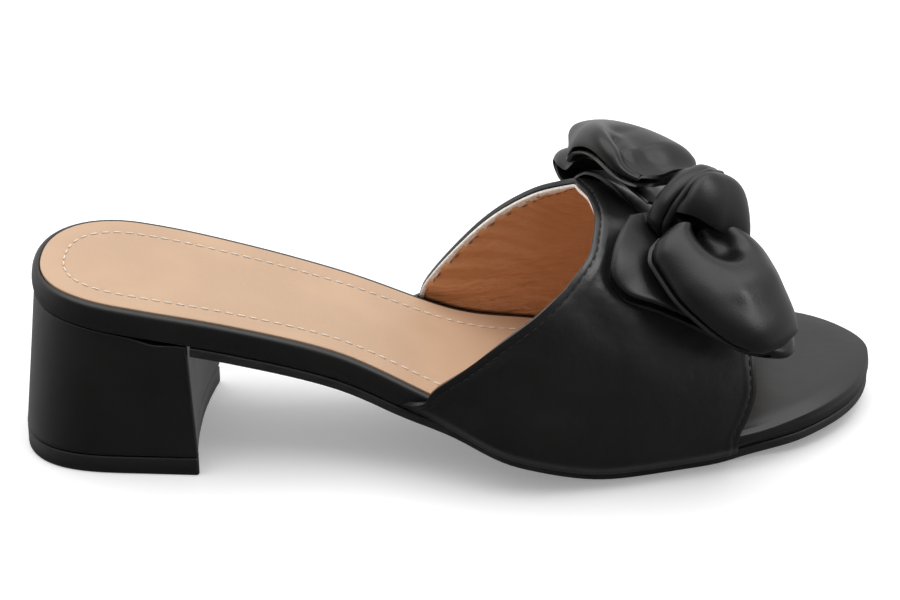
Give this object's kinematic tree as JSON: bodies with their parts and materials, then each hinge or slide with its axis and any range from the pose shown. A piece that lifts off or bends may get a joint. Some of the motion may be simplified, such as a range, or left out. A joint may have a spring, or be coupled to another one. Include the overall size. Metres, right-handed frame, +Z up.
{
  "type": "block heel mule",
  "caption": "Right block heel mule: slip-on sandal with a covered block heel, padded footbed, wide vamp band, open toe and a double ribbon bow.",
  "frame": {"origin": "on the floor under the middle of the heel tip", "axes": "+X from heel to toe, +Y to the inner side of the foot, +Z up"},
  "size_m": [0.2394, 0.0914, 0.0845],
  "materials": {
    "outsole_rubber": "matt black rubber",
    "footbed_wrap": "smooth black faux leather",
    "sock_lining": "matt tan faux leather",
    "heel_cover": "smooth black faux leather",
    "tip_rubber": "matt black rubber",
    "upper_leather": "semi-gloss black faux leather",
    "bow_ribbon": "semi-gloss black faux leather"
  },
  "bodies": {
    "root": {"outsole": "outsole_rubber", "footbed": "footbed_wrap", "sock": "sock_lining", "heel_block": "heel_cover", "heel_tip": "tip_rubber", "upper": "upper_leather", "bow_knot": "bow_ribbon", "bow_loop_upper_lateral": "bow_ribbon", "bow_loop_upper_medial": "bow_ribbon", "bow_loop_lower_lateral": "bow_ribbon", "bow_loop_lower_medial": "bow_ribbon"}
  },
  "joints": []
}
